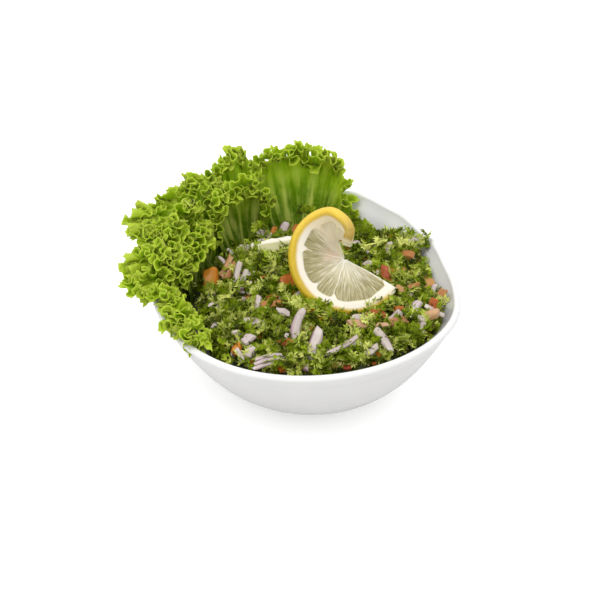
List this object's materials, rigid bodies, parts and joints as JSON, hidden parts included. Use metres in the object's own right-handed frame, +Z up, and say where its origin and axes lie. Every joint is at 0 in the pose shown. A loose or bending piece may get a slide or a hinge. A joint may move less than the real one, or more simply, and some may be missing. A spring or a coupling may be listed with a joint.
{
  "type": "tabbouleh salad",
  "caption": "Chopped herb salad in a white organic-rimmed bowl, with frilly green lettuce leaves standing at the back and side and a curled lemon slice on top",
  "frame": {"origin": "centre of the bowl's flat foot, on the surface it stands on", "axes": "+Z up; -Y the front, where the salad reaches the lip; lettuce at the back (+Y) and on the left (-X)"},
  "size_m": [0.1569, 0.1557, 0.0939],
  "materials": {
    "bowl_glaze": "gloss",
    "salad_mix": "moist chopped herbs",
    "leaf_back_green": "fresh leaf, satin",
    "leaf_tall_green": "fresh leaf, satin",
    "leaf_front_green": "fresh leaf, satin",
    "leaf_upper_left_green": "fresh leaf, satin",
    "leaf_middle_left_green": "fresh leaf, satin",
    "leaf_left_green": "fresh leaf, satin",
    "leaf_inner_left_green": "fresh leaf, satin",
    "leaf_lower_left_green": "fresh leaf, satin",
    "lemon_flesh": "moist fruit, satin",
    "rib_pale": "fresh leaf rib, satin"
  },
  "bodies": {
    "root": {"bowl": "bowl_glaze", "tabbouleh": "salad_mix", "leaf_back": "leaf_back_green", "leaf_tall": "leaf_tall_green", "leaf_front": "leaf_front_green", "leaf_upper_left": "leaf_upper_left_green", "leaf_middle_left": "leaf_middle_left_green", "leaf_left": "leaf_left_green", "leaf_inner_left": "leaf_inner_left_green", "leaf_lower_left": "leaf_lower_left_green", "lemon_slice": "lemon_flesh", "lettuce_rib": "rib_pale"}
  },
  "joints": []
}
